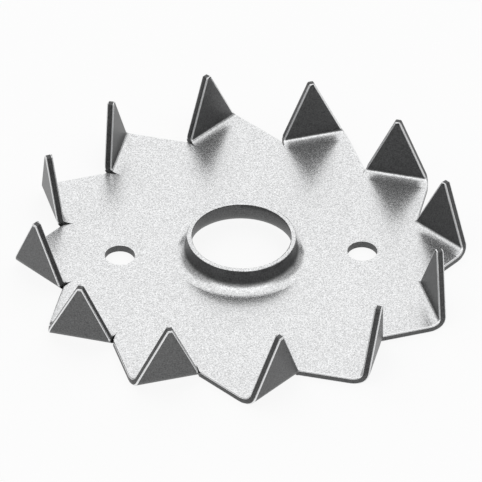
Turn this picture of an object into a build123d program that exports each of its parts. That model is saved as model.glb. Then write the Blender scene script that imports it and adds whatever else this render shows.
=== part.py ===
from build123d import *

import os
from math import cos, radians, sin, tan

# Single-sided toothed plate connector for timber joints: one round steel sheet,
# pressed with a collar round its bolt hole and with its rim cut into teeth that
# are folded up. The plate lies in XY with its underside at z = 0, the teeth point
# up, and the two nail holes lie on the X axis.

# Plate
CORNER_DIA = 74.9  # across the feet of opposite teeth, at their outer corners
SHEET = 1.25
TEETH = 12
TOOTH_PHASE = 1.1  # degrees from the nail holes' line to an outer corner

# Teeth
OVERALL_HEIGHT = 12.1  # underside to tooth tips
FOLD_SKEW = 42.7  # degrees that a fold turns inwards from the rim's tangent
FOLD_ANGLE = 86.0  # a right angle, less the steel's spring
TOOTH_BASE = 10.1  # width of a tooth where its flat face starts, above the bend
TIP_WIDTH = 0.9
TIP_OFFSET = 0.2  # of the tip, from the middle of the tooth towards its inner corner
TIP_RADIUS = 0.3
LEAD_RADIUS = 3.5  # inside of the gentle turn that leads into a bend
LEAD_ANGLE = 22.0  # degrees of that turn
BEND_RADIUS = 0.7  # inside of the tight bend that finishes the fold
NOTCH_REACH = 2.4  # from the start of the bend out to the rim's free edge
NOTCH_WIDTH = 0.45  # from the foot of the tooth's side to the rim's free edge
NOTCH_CURVE = 0.8  # of the side there, from 0 straight to 1 closed at its root

# Collar and holes
BORE_DIA = 16.4
COLLAR_RISE = 3.7  # rim above the top of the plate
RIM_WALL = 0.85
RIM_RADIUS = 0.2
COLLAR_TAPER = 1.5  # degrees that the outside of the collar leans in
COLLAR_ROOT_RADIUS = 2.4
NAIL_HOLE_DIA = 5.0
NAIL_HOLE_SPACING = 40.2

# Worked-out sizes
LEAD_LENGTH = radians(LEAD_ANGLE) * (LEAD_RADIUS + SHEET / 2)
BEND_LENGTH = LEAD_LENGTH + radians(FOLD_ANGLE - LEAD_ANGLE) * (BEND_RADIUS + SHEET / 2)
LEAD_CENTRE = Vector(0, 0, SHEET + LEAD_RADIUS)
INNER_CORNER = -TOOTH_BASE / 2 - NOTCH_WIDTH
COLLAR_ROOT = BORE_DIA / 2 + RIM_WALL + COLLAR_RISE * tan(radians(COLLAR_TAPER))
COLLAR_FOOT = COLLAR_ROOT + 2 * COLLAR_ROOT_RADIUS
LEAD_SHARES = (0, 0.5, 1)  # of the gentle turn, where its sides are set
BEND_SHARES = (0.25, 0.5, 0.75, 1)  # of the tight bend, likewise


def outward(turned: float) -> Vector:
    """Direction out of the sheet's underside once it has turned by some degrees."""
    return Vector(0, sin(radians(turned)), -cos(radians(turned)))


BEND_CENTRE = LEAD_CENTRE + outward(LEAD_ANGLE) * (LEAD_RADIUS - BEND_RADIUS)
LEG_FOOT = BEND_CENTRE + outward(FOLD_ANGLE) * BEND_RADIUS
LEG_LENGTH = (OVERALL_HEIGHT - LEG_FOOT.Z) / sin(radians(FOLD_ANGLE))
OUTER_SLOPE = (TOOTH_BASE / 2 + TIP_OFFSET - TIP_WIDTH / 2) / LEG_LENGTH


def fold_plane(index: int) -> Plane:
    """Frame of one fold: x along it towards the outer corner, y outwards, z up.

    Its origin is where the bend starts, below the middle of the tooth.
    """
    corner = Vector(CORNER_DIA / 2, 0, 0)
    along = Vector(sin(radians(FOLD_SKEW)), -cos(radians(FOLD_SKEW)), 0)
    outwards = Vector(cos(radians(FOLD_SKEW)), sin(radians(FOLD_SKEW)), 0)
    outside = LEG_FOOT + outward(FOLD_ANGLE) * SHEET
    middle = corner - along * (TOOTH_BASE / 2) - outwards * outside.Y
    turn = TOOTH_PHASE + index * 360 / TEETH
    return Plane(middle.rotate(Axis.Z, turn), x_dir=along.rotate(Axis.Z, turn), z_dir=(0, 0, 1))


def notch_point(index: int) -> Vector:
    """Start of the rim's free edge, by the inner end of a fold, in the part's frame."""
    return fold_plane(index).from_local_coords(Vector(INNER_CORNER, NOTCH_REACH, 0))


def free_edge_slope() -> float:
    """Sideways shift per length of the rim's free edge where it meets the next fold."""
    root = fold_plane(1).to_local_coords(notch_point(0))
    spare = root.X - TOOTH_BASE / 2 - BEND_LENGTH * OUTER_SLOPE / 2
    return spare / (BEND_LENGTH / 2 - root.Y)


EDGE_SLOPE = free_edge_slope()


def outer_side(down: float) -> float:
    """Where the sheet ends past the outer corner, a share of the way down the bend.

    The side's slope changes evenly from the tooth's to the rim's free edge.
    """
    slope = OUTER_SLOPE + down * (EDGE_SLOPE - OUTER_SLOPE) / 2
    return TOOTH_BASE / 2 + down * BEND_LENGTH * slope


def inner_side(down: float) -> float:
    """Where the sheet ends past the inner corner, a share of the way down the bend."""
    return -TOOTH_BASE / 2 - down * (1 + NOTCH_CURVE * (1 - down)) * NOTCH_WIDTH


def plate() -> Part:
    """Flat part of the sheet, which ends at the start of each bend."""
    corners = []
    for index in range(TEETH):
        plane = fold_plane(index)
        corners.append(plane.from_local_coords(Vector(outer_side(1), 0, 0)))
        corners.append(plane.from_local_coords(Vector(INNER_CORNER, 0, 0)))
        corners.append(notch_point(index))
    outline = make_face(Polyline(*corners, close=True))
    flat = extrude(outline, SHEET)
    return flat - Cylinder((COLLAR_ROOT + COLLAR_FOOT) / 2, 4 * SHEET)


def section(turned: float, left: float, right: float, spare: float = 0) -> Face:
    """Cut through the sheet where it has turned by some degrees, in the fold's frame.

    The cut runs from left to right, and past both faces of the sheet by the spare.
    """
    centre, radius = (LEAD_CENTRE, LEAD_RADIUS) if turned <= LEAD_ANGLE else (BEND_CENTRE, BEND_RADIUS)
    near = centre + outward(turned) * (radius - spare)
    far = centre + outward(turned) * (radius + SHEET + spare)
    ends = Vector(left, 0, 0), Vector(right, 0, 0)
    return make_face(Polyline(near + ends[0], near + ends[1], far + ends[1], far + ends[0], close=True))


def bend() -> Part:
    """Turn of the sheet from the plate up to a tooth, in the fold's frame."""
    sections = []
    stations = [share * LEAD_ANGLE for share in LEAD_SHARES]
    stations += [LEAD_ANGLE + share * (FOLD_ANGLE - LEAD_ANGLE) for share in BEND_SHARES]
    for turned in stations:
        lead = min(turned, LEAD_ANGLE)
        length = radians(lead) * (LEAD_RADIUS + SHEET / 2)
        length += radians(turned - lead) * (BEND_RADIUS + SHEET / 2)
        down = 1 - length / BEND_LENGTH
        sections.append(section(turned, inner_side(down), outer_side(down), BEND_RADIUS / 2))
    gentle = section(0, -2 * TOOTH_BASE, 2 * TOOTH_BASE)
    gentle = revolve(gentle, Axis(LEAD_CENTRE, (1, 0, 0)), LEAD_ANGLE)
    tight = section(LEAD_ANGLE, -2 * TOOTH_BASE, 2 * TOOTH_BASE)
    tight = revolve(tight, Axis(BEND_CENTRE, (1, 0, 0)), FOLD_ANGLE - LEAD_ANGLE)
    return (gentle + tight) & loft(sections, ruled=True)


def leg() -> Part:
    """Flat triangular leg of a tooth above its bend, in the fold's frame."""
    half, tip = TOOTH_BASE / 2, TIP_WIDTH / 2
    inside = Plane(LEG_FOOT, x_dir=(1, 0, 0), z_dir=outward(FOLD_ANGLE))
    face = make_face(
        Polyline(
            (-half, 0),
            (half, 0),
            (tip - TIP_OFFSET, -LEG_LENGTH),
            (-tip - TIP_OFFSET, -LEG_LENGTH),
            close=True,
        )
    )
    face = fillet(face.vertices().group_by(Axis.Y)[0], TIP_RADIUS)
    return extrude(inside * face, SHEET)


def collar() -> Part:
    """Drawn collar round the bolt hole, with the ring of plate that it rises from."""
    bore, rim = BORE_DIA / 2, SHEET + COLLAR_RISE
    section = make_face(
        Polyline(
            (bore, 0, 0),
            (bore, 0, rim),
            (bore + RIM_WALL, 0, rim),
            (COLLAR_ROOT, 0, SHEET),
            (COLLAR_FOOT, 0, SHEET),
            (COLLAR_FOOT, 0, 0),
            close=True,
        )
    )
    section = fillet(section.vertices().group_by(Axis.Z)[-1], RIM_RADIUS)
    root = section.vertices().sort_by_distance((COLLAR_ROOT, 0, SHEET))[0]
    section = fillet(root, COLLAR_ROOT_RADIUS)
    underside = section.vertices().sort_by_distance((bore, 0, 0))[0]
    section = fillet(underside, COLLAR_ROOT_RADIUS + SHEET)
    return revolve(section, Axis.Z, 360)


def nail_holes() -> list[Part]:
    """Cutters of the two nail holes, one on each side of the bolt hole."""
    cutter = Cylinder(NAIL_HOLE_DIA / 2, 4 * SHEET)
    return [Pos(side * NAIL_HOLE_SPACING / 2, 0, 0) * cutter for side in (-1, 1)]


def connector() -> Part:
    """The whole pressed sheet."""
    tooth = bend() + leg()
    teeth = [fold_plane(index).location * tooth for index in range(TEETH)]
    return plate() + collar() + teeth - nail_holes()


os.makedirs("parts", exist_ok=True)
export_step(connector(), "parts/connector.step")
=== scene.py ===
import logging
import math
from dataclasses import dataclass
from enum import Enum

import bpy
from mathutils import Matrix, Vector

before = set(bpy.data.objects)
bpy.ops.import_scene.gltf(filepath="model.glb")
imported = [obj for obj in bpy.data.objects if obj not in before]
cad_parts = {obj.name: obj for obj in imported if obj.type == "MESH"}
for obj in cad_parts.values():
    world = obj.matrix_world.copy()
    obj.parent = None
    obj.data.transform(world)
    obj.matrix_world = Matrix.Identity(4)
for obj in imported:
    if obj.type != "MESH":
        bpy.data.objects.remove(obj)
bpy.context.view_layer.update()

# Looks of a toothed plate connector pressed from zinc-coated sheet steel. All
# lengths are metres in the row's frame: plate in XY, teeth up, bore at the origin.

log = logging.getLogger("toothed_plate_connector")
MM = 0.001
WHITE = (1.0, 1.0, 1.0, 1.0)
Socket = bpy.types.NodeSocket
Sockets = bpy.types.bpy_prop_collection
Value = Socket | float | tuple[float, ...]


class Skin(Enum):
    """The two finishes on the pressed sheet, by their material slot."""

    FACE = 0
    ROUNDED_EDGE = 1


@dataclass
class Graph:
    """A node tree, with short calls that add nodes and feed their inputs."""

    tree: bpy.types.NodeTree

    def feed(self, socket: Socket, value: Value) -> None:
        """Link a socket to an input, or set the input's constant.

        Args:
            socket: The input.
            value: An output socket, or a constant.
        """
        if isinstance(value, bpy.types.NodeSocket):
            self.tree.links.new(value, socket)
        else:
            socket.default_value = value

    def add(
        self, kind: str, values: dict[str | int, Value] | None = None, **settings: object
    ) -> bpy.types.Node:
        """Add a node.

        Args:
            kind: Its type.
            values: What feeds its inputs, by their names or places.
            settings: Its other settings.

        Returns:
            The node.
        """
        node = self.tree.nodes.new(kind)
        for name, setting in settings.items():
            setattr(node, name, setting)
        for name, value in (values or {}).items():
            self.feed(node.inputs[name], value)
        return node

    def math(self, operation: str, *values: Value) -> Socket:
        """Add a math node and return its result.

        Args:
            operation: Its operation.
            values: What feeds its inputs, in order.
        """
        return self.add("ShaderNodeMath", dict(enumerate(values)), operation=operation).outputs[0]

    def dot(self, vector: Value, direction: Value) -> Socket:
        """Add a dot product and return its result.

        Args:
            vector: The first vector.
            direction: The second vector.
        """
        ends = {0: vector, 1: direction}
        return self.add("ShaderNodeVectorMath", ends, operation="DOT_PRODUCT").outputs["Value"]

    def length(self, across: Value, along: Value) -> Socket:
        """Add nodes for the length of a flat vector and return it.

        Args:
            across: Its first part.
            along: Its second part.
        """
        squares = [self.math("MULTIPLY", part, part) for part in (across, along)]
        return self.math("SQRT", self.math("ADD", *squares))

    def ramp(
        self, value: Value, low: float, high: float, start: Value = 0.0, end: Value = 1.0
    ) -> Socket:
        """Ease from one value to another while the input passes from low to high.

        Args:
            value: The input.
            low: Where the change starts.
            high: Where it ends.
            start: The result up to low.
            end: The result from high on.
        """
        ends = {"Value": value, "From Min": low, "From Max": high, "To Min": start, "To Max": end}
        return self.add("ShaderNodeMapRange", ends, interpolation_type="SMOOTHSTEP").outputs["Result"]


@dataclass(frozen=True)
class ToothRing:
    """Places on the sheet that the materials and the edge marks go by.

    The teeth's places are given for the first tooth past the X axis.
    """

    teeth: int = 12
    plate_top: float = 1.25 * MM
    collar_foot: float = 14.2 * MM  # radius just past the round at its foot
    collar_top: float = 5.2 * MM  # just above its rim
    collar_reach: float = 15 * MM  # radius that divides its walls from the teeth's
    holes_reach: float = 24 * MM  # radius past the nail holes
    sector_start: float = math.radians(-9)  # of the tooth's share of the circle
    fold_outward: float = math.radians(43.8)  # way that the tooth's outer face looks
    notch: tuple[float, float] = (28.85 * MM, 7.09 * MM)  # at the fold's inner end
    notch_reach: float = 1.7 * MM
    notch_top: float = 1.7 * MM

    def turn(self, graph: Graph, place: Socket) -> Socket:
        """Angle that turns a point's tooth back onto the first one.

        Args:
            graph: The tree to build in.
            place: The point.

        Returns:
            The angle, in radians.
        """
        spot = graph.add("ShaderNodeSeparateXYZ", {"Vector": place}).outputs
        around = graph.math("ARCTAN2", spot["Y"], spot["X"])
        step = 2 * math.pi / self.teeth
        index = graph.math("DIVIDE", graph.math("SUBTRACT", around, self.sector_start), step)
        return graph.math("MULTIPLY", graph.math("FLOOR", index), -step)

    def turned(self, graph: Graph, vector: Socket, place: Socket) -> Socket:
        """Turn a vector round the bore's axis, as its point's tooth onto the first one.

        Args:
            graph: The tree to build in.
            vector: The vector.
            place: The point that it belongs to.

        Returns:
            The turned vector.
        """
        ends = {"Vector": vector, "Angle": self.turn(graph, place)}
        return graph.add("ShaderNodeVectorRotate", ends, rotation_type="Z_AXIS").outputs["Vector"]

    def in_notch(self, graph: Graph, place: Socket) -> Socket:
        """Tell whether a point lies at the notch beside a fold's inner end.

        Args:
            graph: The tree to build in.
            place: The point.

        Returns:
            1 there, 0 elsewhere.
        """
        first = graph.add("ShaderNodeSeparateXYZ", {"Vector": self.turned(graph, place, place)})
        across = graph.math("SUBTRACT", first.outputs["X"], self.notch[0])
        along = graph.math("SUBTRACT", first.outputs["Y"], self.notch[1])
        near = graph.math("LESS_THAN", graph.length(across, along), self.notch_reach)
        low = graph.math("LESS_THAN", first.outputs["Z"], self.notch_top)
        return graph.math("MULTIPLY", near, low)


RING = ToothRing()


def new_group(name: str, outputs: tuple[str, ...], **inputs: float) -> tuple[Graph, Sockets, Sockets]:
    """Start a shader node group with float sockets.

    Args:
        name: The group's name.
        outputs: Names of its outputs.
        inputs: Its inputs, with their starting values.

    Returns:
        The group's graph, the sockets that its inputs arrive on, and those that its
        outputs leave by.
    """
    tree = bpy.data.node_groups.new(name, "ShaderNodeTree")
    for label in outputs:
        tree.interface.new_socket(name=label, in_out="OUTPUT", socket_type="NodeSocketFloat")
    for label, value in inputs.items():
        socket = tree.interface.new_socket(name=label, in_out="INPUT", socket_type="NodeSocketFloat")
        socket.default_value = value
    graph = Graph(tree)
    return graph, graph.add("NodeGroupInput").outputs, graph.add("NodeGroupOutput").inputs


@dataclass(frozen=True)
class SheetGrain:
    """Fine speckle and slow mottling of a zinc-coated sheet."""

    grain_scale: float = 4200.0
    grain_detail: float = 2.0
    grain: float = 0.5
    mottle_scale: float = 150.0
    mottle_detail: float = 3.0
    mottle: float = 0.1
    noise_middle: float = 0.5

    def build(self) -> bpy.types.NodeTree:
        """Make the shared group.

        Returns:
            A group with outputs Tone, a factor near 1 for colours, and Height.
        """
        graph, arriving, leaving = new_group(
            "sheet_grain",
            ("Tone", "Height"),
            Scale=self.grain_scale,
            Grain=self.grain,
            Mottle_Scale=self.mottle_scale,
            Mottle=self.mottle,
        )
        place = graph.add("ShaderNodeTexCoord").outputs["Object"]
        layers = (("Scale", self.grain_detail, "Grain"), ("Mottle_Scale", self.mottle_detail, "Mottle"))
        tone: Value = 1.0
        heights = []
        for scale, detail, share in layers:
            ends = {"Vector": place, "Scale": arriving[scale], "Detail": detail}
            noise = graph.add("ShaderNodeTexNoise", ends).outputs["Fac"]
            centred = graph.math("SUBTRACT", noise, self.noise_middle)
            tone = graph.math("MULTIPLY_ADD", centred, arriving[share], tone)
            heights.append(noise)
        graph.feed(leaving["Tone"], tone)
        graph.feed(leaving["Height"], heights[0])
        return graph.tree


@dataclass(frozen=True)
class SheetSides:
    """Masks of the sheet's sides, from where its surface lies and faces, on which the finish paints
    shade.
    """

    upright: float = 0.35
    tilted: float = 0.8
    edge_on: float = 0.4
    face_on: float = 0.7

    def across(self, graph: Graph, place: Socket, normal: Socket, height: Socket) -> Socket:
        """How far the surface faces out of a tooth's or the collar's own walls.

        Args:
            graph: The tree to build in.
            place: The point.
            normal: The surface's direction there.
            height: The point's height.

        Returns:
            The share of the direction that lies across the standing sheet.
        """
        spot = graph.add("ShaderNodeSeparateXYZ", {"Vector": place}).outputs
        flat = graph.add("ShaderNodeCombineXYZ", {"X": spot["X"], "Y": spot["Y"]}).outputs[0]
        radius = graph.math("SQRT", graph.dot(flat, flat))
        away = (math.cos(RING.fold_outward), math.sin(RING.fold_outward), 0.0)
        on_tooth = graph.dot(RING.turned(graph, normal, place), away)
        on_collar = graph.math("DIVIDE", graph.dot(normal, flat), radius)
        on_collar = graph.math("MAXIMUM", on_collar, 0.0)
        inside = graph.math("LESS_THAN", radius, RING.collar_reach)
        either = graph.add("ShaderNodeMix", {0: inside, 2: on_tooth, 3: on_collar}).outputs[0]
        folded = graph.math("GREATER_THAN", height, RING.plate_top)
        drawn = graph.math("LESS_THAN", radius, RING.collar_foot)
        return graph.math("MULTIPLY", either, graph.math("MAXIMUM", folded, drawn))

    def build(self) -> bpy.types.NodeTree:
        """Make the shared group.

        Returns:
            A group with outputs Wall, 1 where the sheet stands up in teeth and collar,
            and Sheared, 1 on the cut sides of teeth, rim and holes.
        """
        graph, _, leaving = new_group("sheet_sides", ("Wall", "Sheared"))
        coordinates = graph.add("ShaderNodeTexCoord").outputs
        place, normal = coordinates["Object"], coordinates["Normal"]
        height = graph.add("ShaderNodeSeparateXYZ", {"Vector": place}).outputs["Z"]
        up = graph.math("ABSOLUTE", graph.add("ShaderNodeSeparateXYZ", {"Vector": normal}).outputs["Z"])
        across = self.across(graph, place, normal, height)

        below_tips = graph.math("LESS_THAN", height, RING.collar_top)
        level = graph.math("MULTIPLY", graph.math("MULTIPLY", up, up), below_tips)
        face = graph.math("ADD", level, graph.math("MULTIPLY", across, across))
        sheared = graph.ramp(face, self.edge_on, self.face_on, 1.0, 0.0)
        steep = graph.ramp(up, self.upright, self.tilted, 1.0, 0.0)
        wall = graph.math("MULTIPLY", steep, graph.math("SUBTRACT", 1.0, sheared))
        graph.feed(leaving["Wall"], wall)
        graph.feed(leaving["Sheared"], sheared)
        return graph.tree


@dataclass(frozen=True)
class SteelFinish:
    """One finish of the steel sheet, with painted shade on its walls and sheared sides, which are also
    rougher.
    """

    name: str
    colour: tuple[float, float, float]
    roughness: float
    metallic: float
    grain: float
    mottle: float
    bump_depth: float
    # Shares of the colour left on walls and sheared sides: painted shade.
    wall_shade_share: float = 1.0
    sheared_shade_share: float = 1.0
    wall_roughness: float = 0.4
    sheared_roughness: float = 0.45
    roughness_spread: float = 0.05
    grain_low: float = 0.2
    grain_high: float = 0.8

    def build(self, grain: bpy.types.NodeTree, sides: bpy.types.NodeTree) -> bpy.types.Material:
        """Make the material.

        Args:
            grain: The shared grain group.
            sides: The shared group of the sheet's sides.

        Returns:
            A node material with a metallic shader.
        """
        material = bpy.data.materials.new(self.name)
        material.use_nodes = True
        graph = Graph(material.node_tree)
        shader = material.node_tree.nodes["Principled BSDF"]
        shader.inputs["Metallic"].default_value = self.metallic

        texture = graph.add("ShaderNodeGroup", node_tree=grain)
        texture.inputs["Grain"].default_value = self.grain
        texture.inputs["Mottle"].default_value = self.mottle
        side = graph.add("ShaderNodeGroup", node_tree=sides).outputs

        tone = texture.outputs["Tone"]
        rough: Value = self.roughness
        looks = (
            ("Wall", self.wall_shade_share, self.wall_roughness),
            ("Sheared", self.sheared_shade_share, self.sheared_roughness),
        )
        # Painted shade: the colour drops to the given share on walls and sheared sides, and the
        # roughness rises there.
        for mask, share, matt in looks:
            tone = graph.math("MULTIPLY", tone, graph.ramp(side[mask], 0.0, 1.0, 1.0, share))
            rough = graph.math("MULTIPLY_ADD", side[mask], matt - self.roughness, rough)
        tint = graph.add("ShaderNodeVectorMath", {0: self.colour, 3: tone}, operation="SCALE")
        graph.feed(shader.inputs["Base Color"], tint.outputs["Vector"])

        height = texture.outputs["Height"]
        spread = self.roughness_spread
        uneven = graph.ramp(height, self.grain_low, self.grain_high, -spread, spread)
        graph.feed(shader.inputs["Roughness"], graph.math("ADD", rough, uneven))
        bump = graph.add("ShaderNodeBump", {"Height": height, "Distance": self.bump_depth})
        graph.feed(shader.inputs["Normal"], bump.outputs["Normal"])
        return material


SHEET_FACE = SteelFinish(
    name="zinc_coated_face",
    colour=(0.75, 0.755, 0.76),
    roughness=0.27,
    metallic=0.95,
    grain=1.6,
    mottle=0.08,
    bump_depth=0.006 * MM,
    # Painted shade: walls and sheared sides keep only these shares of the colour.
    wall_shade_share=0.17,
    sheared_shade_share=0.15,
)
SHEET_EDGE = SteelFinish(
    name="rounded_edge",
    colour=(0.85, 0.855, 0.86),
    roughness=0.25,
    metallic=1.0,
    grain=0.2,
    mottle=0.0,
    bump_depth=0.002 * MM,
)


@dataclass
class PressedSheet:
    """The connector's one pressed sheet: its finish and its rounded sheared edges."""

    node: str = "connector"
    weld_gap: float = 0.001 * MM
    flat_angle: float = math.radians(0.5)
    edge_angle: float = math.radians(65)
    crease_angle: float = math.radians(30)
    edge_radius: float = 0.22 * MM
    edge_segments: int = 4

    def finish_faces(self) -> None:
        """Give the sheet its two materials."""
        grain, sides = SheetGrain().build(), SheetSides().build()
        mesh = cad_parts[self.node].data
        mesh.materials.clear()
        for skin in Skin:
            look = SHEET_FACE if skin is Skin.FACE else SHEET_EDGE
            mesh.materials.append(look.build(grain, sides))

    def edge_marks(self) -> bpy.types.NodeTree:
        """Build the geometry nodes that mark which edges are rounded or left sharp.

        Returns:
            A tree that marks the edges of teeth and rim outside the notches for
            rounding, and all other creases past the collar as sharp.
        """
        tree = bpy.data.node_groups.new("edge_marks", "GeometryNodeTree")
        for end in ("INPUT", "OUTPUT"):
            tree.interface.new_socket(name="Geometry", in_out=end, socket_type="NodeSocketGeometry")
        graph = Graph(tree)
        place = graph.add("GeometryNodeInputPosition").outputs[0]
        reach = graph.add("ShaderNodeVectorMath", {0: place}, operation="LENGTH").outputs["Value"]
        angle = graph.add("GeometryNodeInputMeshEdgeAngle").outputs["Unsigned Angle"]

        clear = graph.math("SUBTRACT", 1.0, RING.in_notch(graph, place))
        clear = graph.math("MULTIPLY", clear, graph.math("GREATER_THAN", reach, RING.holes_reach))
        rounded = graph.math("MULTIPLY", clear, graph.math("GREATER_THAN", angle, self.edge_angle))
        creased = graph.math("GREATER_THAN", angle, self.crease_angle)
        creased = graph.math("MULTIPLY", creased, graph.math("SUBTRACT", 1.0, rounded))
        past_collar = graph.math("GREATER_THAN", reach, RING.collar_foot)
        creased = graph.math("MULTIPLY", creased, past_collar)

        geometry = graph.add("NodeGroupInput").outputs["Geometry"]
        marks = (("bevel_weight_edge", "FLOAT", rounded), ("sharp_edge", "BOOLEAN", creased))
        for name, kind, value in marks:
            ends = {"Geometry": geometry, "Name": name, "Value": value}
            store = graph.add("GeometryNodeStoreNamedAttribute", ends, data_type=kind, domain="EDGE")
            geometry = store.outputs["Geometry"]
        graph.feed(graph.add("NodeGroupOutput").inputs["Geometry"], geometry)
        return tree

    def round_edges(self) -> None:
        """Join the mesh's split faces, merge flat ones and round the marked edges."""
        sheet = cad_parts[self.node]
        weld = sheet.modifiers.new("join", "WELD")
        weld.merge_threshold = self.weld_gap
        flats = sheet.modifiers.new("flats", "DECIMATE")
        flats.decimate_type = "DISSOLVE"
        flats.angle_limit = self.flat_angle
        marks = sheet.modifiers.new("edge_marks", "NODES")
        marks.node_group = self.edge_marks()
        edges = sheet.modifiers.new("rounded_edges", "BEVEL")
        edges.limit_method = "WEIGHT"
        edges.width = self.edge_radius
        edges.segments = self.edge_segments
        edges.use_clamp_overlap = False
        edges.miter_outer = "MITER_ARC"
        edges.harden_normals = True
        edges.material = Skin.ROUNDED_EDGE.value

    def build(self) -> None:
        """Dress the CAD node."""
        self.finish_faces()
        self.round_edges()
        log.info("pressed sheet: faces, grain and rounded edges")


@dataclass(frozen=True)
class LightTent:
    """Soft light from a diffuser that arches from behind the object over its top."""

    rear_edge: float = math.radians(4)
    front_edge: float = math.radians(132)
    half_width: float = 0.66
    softness: float = 0.12
    rear_radiance: float = 0.7
    top_radiance: float = 0.96
    room: float = 0.36
    rise_start: float = math.radians(85)
    rise_end: float = math.radians(118)

    def build(self) -> bpy.types.World:
        """Make the world.

        Returns:
            A world that is bright where the diffuser hangs and dim elsewhere.
        """
        world = bpy.data.worlds.new("light_tent")
        world.use_nodes = True
        graph = Graph(world.node_tree)
        towards = graph.add("ShaderNodeTexCoord").outputs["Generated"]
        split = graph.add("ShaderNodeSeparateXYZ", {"Vector": towards}).outputs
        arch = graph.math("ARCTAN2", split["Z"], split["Y"])
        soft = self.softness
        bright = graph.ramp(arch, self.rear_edge - soft, self.rear_edge + soft)
        front = graph.ramp(arch, self.front_edge - soft, self.front_edge + soft, 1.0, 0.0)
        aside = graph.math("ABSOLUTE", split["X"])
        width = graph.ramp(aside, self.half_width - soft, self.half_width + soft, 1.0, 0.0)
        bright = graph.math("MULTIPLY", graph.math("MULTIPLY", bright, front), width)
        radiances = self.rear_radiance, self.top_radiance
        level = graph.ramp(arch, self.rise_start, self.rise_end, *radiances)
        strength = graph.math("ADD", graph.math("MULTIPLY", bright, level), self.room)
        background = world.node_tree.nodes["Background"]
        background.inputs["Color"].default_value = WHITE
        graph.feed(background.inputs["Strength"], strength)
        return world


@dataclass
class Studio:
    """Plain pale floor, soft light and the photograph's camera."""

    floor_radius: float = 30.0
    floor_sides: int = 96
    floor_colour: float = 0.93
    floor_lift: float = 0.88
    frame_side: float = 482.0
    focal_pixels: float = 5703.4
    sensor_width: float = 36.0
    near_clip: float = 10 * MM
    camera_elevation: float = 39.73
    camera_azimuth: float = 3.06
    camera_roll: float = 1.0
    camera_distance: float = 0.94887
    camera_target: tuple[float, float, float] = (0.17 * MM, 4.66 * MM, 0.0)

    def floor(self) -> None:
        """Lay the floor that the connector rests on."""
        bpy.ops.mesh.primitive_circle_add(
            vertices=self.floor_sides, radius=self.floor_radius, fill_type="NGON"
        )
        ground = bpy.context.object
        ground.name = "floor"
        material = bpy.data.materials.new("floor_paint")
        material.use_nodes = True
        shader = material.node_tree.nodes["Principled BSDF"]
        shader.inputs["Base Color"].default_value = (self.floor_colour,) * 3 + (1.0,)
        shader.inputs["Roughness"].default_value = 1.0
        shader.inputs["Specular IOR Level"].default_value = 0.0
        graph = Graph(material.node_tree)
        rays = graph.add("ShaderNodeLightPath").outputs
        seen = graph.math("MAXIMUM", rays["Is Camera Ray"], rays["Is Glossy Ray"])
        seen = graph.math("MAXIMUM", seen, rays["Is Transmission Ray"])
        mix = graph.add("ShaderNodeMixShader", {"Fac": graph.math("MULTIPLY", seen, self.floor_lift)})
        graph.feed(mix.inputs[1], shader.outputs[0])
        graph.feed(mix.inputs[2], graph.add("ShaderNodeEmission").outputs[0])
        graph.feed(material.node_tree.nodes["Material Output"].inputs["Surface"], mix.outputs[0])
        ground.data.materials.append(material)

    def lights(self) -> None:
        """Light the object from a soft tent."""
        bpy.context.scene.world = LightTent().build()

    def camera(self) -> None:
        """Set the camera at the photograph's angle, distance and framing."""
        rise, turn = math.radians(self.camera_elevation), math.radians(self.camera_azimuth)
        roll = math.radians(self.camera_roll)
        forward = Vector(
            (math.sin(turn) * math.cos(rise), math.cos(turn) * math.cos(rise), -math.sin(rise))
        )
        level = Vector((math.cos(turn), -math.sin(turn), 0.0))
        upright = level.cross(forward)
        right = level * math.cos(roll) + upright * math.sin(roll)
        up = upright * math.cos(roll) - level * math.sin(roll)
        data = bpy.data.cameras.new("camera")
        data.sensor_width = self.sensor_width
        data.lens = self.focal_pixels / self.frame_side * self.sensor_width
        data.clip_start = self.near_clip
        camera = bpy.data.objects.new("camera", data)
        place = Matrix((right, up, -forward)).transposed().to_4x4()
        place.translation = Vector(self.camera_target) - forward * self.camera_distance
        camera.matrix_world = place
        bpy.context.scene.collection.objects.link(camera)
        bpy.context.scene.camera = camera

    def build(self) -> None:
        """Build the whole stage."""
        self.floor()
        self.lights()
        self.camera()
        bpy.context.scene.view_settings.view_transform = "Standard"
        log.info("studio: floor, light and camera")


def main() -> None:
    """Dress the connector and set the studio round it."""
    logging.basicConfig(level=logging.INFO)
    PressedSheet().build()
    Studio().build()


if __name__ == "__main__":
    main()
